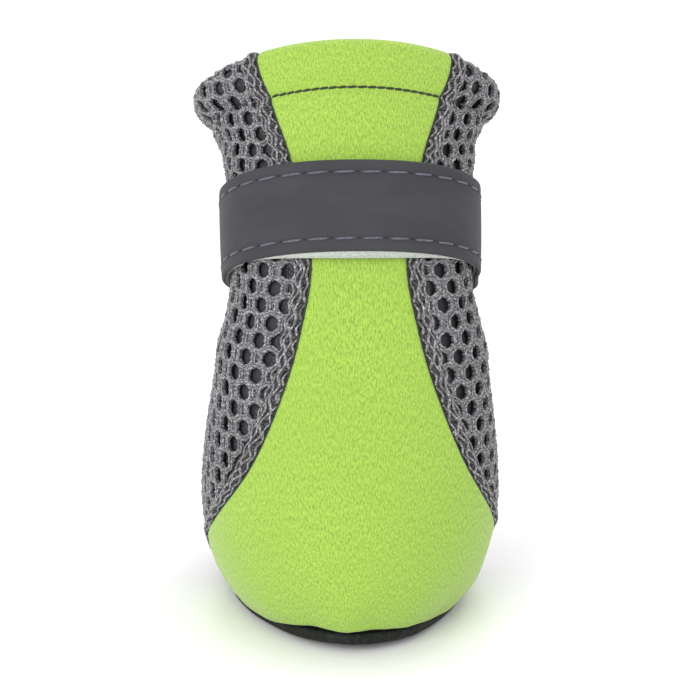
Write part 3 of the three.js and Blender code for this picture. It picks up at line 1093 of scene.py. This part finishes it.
class DOGBOOT_OT_hook_tape(bpy.types.Operator):
    """Sets the hook tape between the strap's two layers"""

    bl_idname = "dogboot.hook_tape"
    bl_label = "Hook Tape"

    def execute(self, context):
        low, high = 0.07 * STRAP_WIDTH, 0.93 * STRAP_WIDTH
        first, final = (along_strap(degrees - 360) for degrees in (TAPE_FROM, TAPE_TO))
        base = STRAP_THICKNESS + 0.35 * MM

        def cut(x, y):
            along, across = between(first, final, x), between(low, high, y)
            edge = from_edge(along, across, first, final, low, high)
            return along, across, base + 0.75 * MM - edge_round(edge, 0.3 * MM)

        tape = brushed_loop("hook_tape", colours().tape, 2.2, 0.4)
        bm = laid(thickened(flat_grid(60, 24, cut), 0.6 * MM), strap_chart)
        piece(bm, "hook_tape_web", tape, "tape", "hook_tape")
        hook = bmesh.new()
        bmesh.ops.create_cone(
            hook, cap_ends=True, segments=6, radius1=0.16 * MM, radius2=0.09 * MM, depth=0.4 * MM
        )
        rows = even_places(low + 0.4 * MM, high - 0.4 * MM, 1.0 * MM)
        runs = even_places(first + 0.4 * MM, final - 0.4 * MM, 1.0 * MM)
        places = [(x, y, base + 0.85 * MM, 0.0) for x in runs for y in rows]
        piece(laid(copies(hook, places), strap_chart), "hook_tape_hooks", tape, "tape")
        return {"FINISHED"}


def seam_outline(turn, outwards, height, share):
    """Points of the sole seam's outline, moved outwards and shrunk about its middle."""
    level = np.zeros(turn.shape)
    points = last(level, turn)
    along = last(level, turn + 0.05) - last(level, turn - 0.05)
    tucked = outwards - 0.8 * droop(turn)
    points = points + unit(np.stack([along[:, 1], -along[:, 0], 0 * level], -1)) * tucked[:, None]
    middle = (HEEL_END - TOE_END) / 2
    points[:, 0] *= share
    points[:, 1] = middle + (points[:, 1] - middle) * share
    points[:, 2] = height
    return sprung(points)


def plate(under, edge, top, shares, around=144):
    """A plate of the seam's outline. under, top and each of edge's rows, which go up round its edge,
    are a distance proud of the outline and a height. shares are the rings that cross its faces."""
    rings = [(*under, share) for share in shares] + [(*row, 1) for row in edge]
    rings += [(*top, share) for share in reversed(shares)]
    proud, height, share = (np.array(column) for column in zip(*rings))
    rows = np.arange(len(rings))

    def cut(x, y, z):
        row = between(0, len(rings) - 1, y)
        values = (np.interp(row, rows, column) for column in (proud, height, share))
        return seam_outline(x * math.pi, *values)

    bm = bmesh.new()
    bmesh.ops.create_grid(bm, x_segments=around, y_segments=len(rings) - 1, size=1)
    closed(welded(placed(bm, cut)))
    bmesh.ops.recalc_face_normals(bm, faces=bm.faces[:])
    return bm


class DOGBOOT_OT_sole(bpy.types.Operator):
    """Makes the thin soft sole with its grip dots"""

    bl_idname = "dogboot.sole"
    bl_label = "Sole"

    def execute(self, context):
        base, top = 0.3 * MM, SOLE_THICKNESS
        edge = [(-0.9 * MM, base), (-0.35 * MM, base + 0.06 * MM), (0, base + 0.3 * MM)]
        edge += [(0.26 * MM, 0.9 * MM), (0.35 * MM, 1.3 * MM), (0.27 * MM, 1.85 * MM)]
        edge += [(0.05 * MM, 2.2 * MM), (-0.25 * MM, top)]
        shares = [0.04, 0.2, 0.4, 0.6, 0.8, 0.94]
        rubber = sole_rubber()
        bm = plate((-0.9 * MM, base), edge, (-0.3 * MM, top), shares)
        piece(bm, "sole_plate", rubber, "sole", "sole")
        dot = bmesh.new()
        radius, tall = sizes().dot, base + 0.1 * MM
        bmesh.ops.create_cone(
            dot, cap_ends=True, segments=10, radius1=0.7 * radius, radius2=radius, depth=tall
        )
        pitch, forward = 4.2 * radius, 1.6 * MM
        places = []
        for j in range(-14, 15):
            for k in range(-14, 15):
                x, y = (k + (j % 2) / 2) * pitch, j * pitch * 0.866 - forward
                reach = abs(x / (0.39 * BALL_WIDTH)) ** 1.9 + abs((y + forward) / (0.425 * LENGTH)) ** 1.9
                if reach < 0.9:
                    places.append((x, y, tall / 2, 0.0))
        bm = placed(copies(dot, places), lambda x, y, z: sprung(np.stack([x, y, z], -1)))
        piece(bm, "sole_dots", rubber, "sole")
        return {"FINISHED"}


class DOGBOOT_OT_sock_liner(bpy.types.Operator):
    """Makes the knitted sock liner inside the boot"""

    bl_idname = "dogboot.sock_liner"
    bl_label = "Sock Liner"

    def execute(self, context):
        low = SOLE_THICKNESS + GAP
        high = low + 1.2 * MM
        edge = [(-2.9 * MM, low), (-2.7 * MM, low + 0.3 * MM)]
        edge += [(-2.7 * MM, high - 0.3 * MM), (-3.0 * MM, high)]
        shares = [0.04, 0.25, 0.5, 0.75, 0.92]
        knit = brushed_loop("liner_knit", shaded(colours().lining, 1.1), 2.0, 0.35)
        bm = plate((-2.7 * MM, low), edge, (-2.7 * MM, high), shares, 120)
        piece(bm, "sock_liner_cloth", knit, "liner", "sock_liner")
        return {"FINISHED"}


CAMERA_DISTANCE = 0.42
CAMERA_AZIMUTH, CAMERA_ELEVATION, CAMERA_ROLL = (math.radians(a) for a in (-4.5, 17.5, 1.0))
CAMERA_AIM = Vector((0, 0, 0.452 * FRONT_HEIGHT))
FRAME_HEIGHT = 1.25 * FRONT_HEIGHT  # what the picture takes in at the boot


class DOGBOOT_OT_stage(bpy.types.Operator):
    """Sets the floor, the soft studio lights and the camera"""

    bl_idname = "dogboot.stage"
    bl_label = "Stage"

    # Name, place, size and power of each soft box.
    LIGHTS = (
        ("key", (-0.6, -0.8, 0.5), 0.7, 6.0),
        ("fill", (0.7, -0.6, 0.5), 0.7, 1.2),
        ("back", (0.1, 0.5, 1.0), 0.9, 5.0),
    )
    WORLD_STRENGTH = 0.9

    def execute(self, context):
        scene = bpy.context.scene
        bm = bmesh.new()
        bmesh.ops.create_grid(bm, x_segments=1, y_segments=1, size=4)
        mesh = bpy.data.meshes.new("floor")
        bm.to_mesh(mesh)
        bm.free()
        mesh.materials.append(plain_floor())
        floor = bpy.data.objects.new("floor", mesh)
        scene.collection.objects.link(floor)
        for name, place, size, power in self.LIGHTS:
            light = bpy.data.lights.new(name, "AREA")
            light.size, light.energy = size, power
            lamp = bpy.data.objects.new(name, light)
            lamp.location = place
            lamp.rotation_euler = (CAMERA_AIM - lamp.location).to_track_quat("-Z", "Y").to_euler()
            scene.collection.objects.link(lamp)
        world = bpy.data.worlds.new("studio")
        world.use_nodes = True
        background = world.node_tree.nodes["Background"]
        background.inputs["Color"].default_value = (1, 1, 1, 1)
        background.inputs["Strength"].default_value = self.WORLD_STRENGTH
        scene.world = world
        scene.view_settings.view_transform = "Standard"
        camera = bpy.data.cameras.new("camera")
        camera.lens = camera.sensor_width * CAMERA_DISTANCE / FRAME_HEIGHT
        viewer = bpy.data.objects.new("camera", camera)
        level = math.cos(CAMERA_ELEVATION)
        side, ahead = math.sin(CAMERA_AZIMUTH) * level, math.cos(CAMERA_AZIMUTH) * level
        back = Vector((side, -ahead, math.sin(CAMERA_ELEVATION)))
        viewer.location = CAMERA_AIM + back * CAMERA_DISTANCE
        aim = (-back).to_track_quat("-Z", "Y").to_matrix()
        viewer.rotation_euler = (aim @ Matrix.Rotation(CAMERA_ROLL, 3, "Z")).to_euler()
        scene.collection.objects.link(viewer)
        scene.camera = viewer
        return {"FINISHED"}


OPERATORS = (
    DOGBOOT_OT_lining,
    DOGBOOT_OT_front_panel,
    DOGBOOT_OT_air_mesh,
    DOGBOOT_OT_mesh_edges,
    DOGBOOT_OT_seams,
    DOGBOOT_OT_strap,
    DOGBOOT_OT_hook_tape,
    DOGBOOT_OT_sole,
    DOGBOOT_OT_sock_liner,
    DOGBOOT_OT_stage,
)


class VIEW3D_PT_dog_boot(bpy.types.Panel):
    """Lists the boot's pieces and its sizes and colours"""

    bl_label = "Dog Boot"
    bl_idname = "VIEW3D_PT_dog_boot"
    bl_space_type = "VIEW_3D"
    bl_region_type = "UI"
    bl_category = "Dog Boot"

    def draw(self, context):
        for operator in OPERATORS:
            self.layout.operator(operator.bl_idname)
        for group in (context.scene.dog_boot_sizes, context.scene.dog_boot_colours):
            box = self.layout.box()
            for name in group.__annotations__:
                box.prop(group, name)


CLASSES = (DogBootSizes, DogBootColours, *OPERATORS, VIEW3D_PT_dog_boot)


def register():
    for cls in CLASSES:
        bpy.utils.register_class(cls)
    bpy.types.Scene.dog_boot_sizes = bpy.props.PointerProperty(type=DogBootSizes)
    bpy.types.Scene.dog_boot_colours = bpy.props.PointerProperty(type=DogBootColours)


def unregister():
    del bpy.types.Scene.dog_boot_colours
    del bpy.types.Scene.dog_boot_sizes
    for cls in reversed(CLASSES):
        bpy.utils.unregister_class(cls)


def main():
    register()
    for operator in OPERATORS:
        group, name = operator.bl_idname.split(".")
        getattr(getattr(bpy.ops, group), name)()


if __name__ == "__main__":
    main()
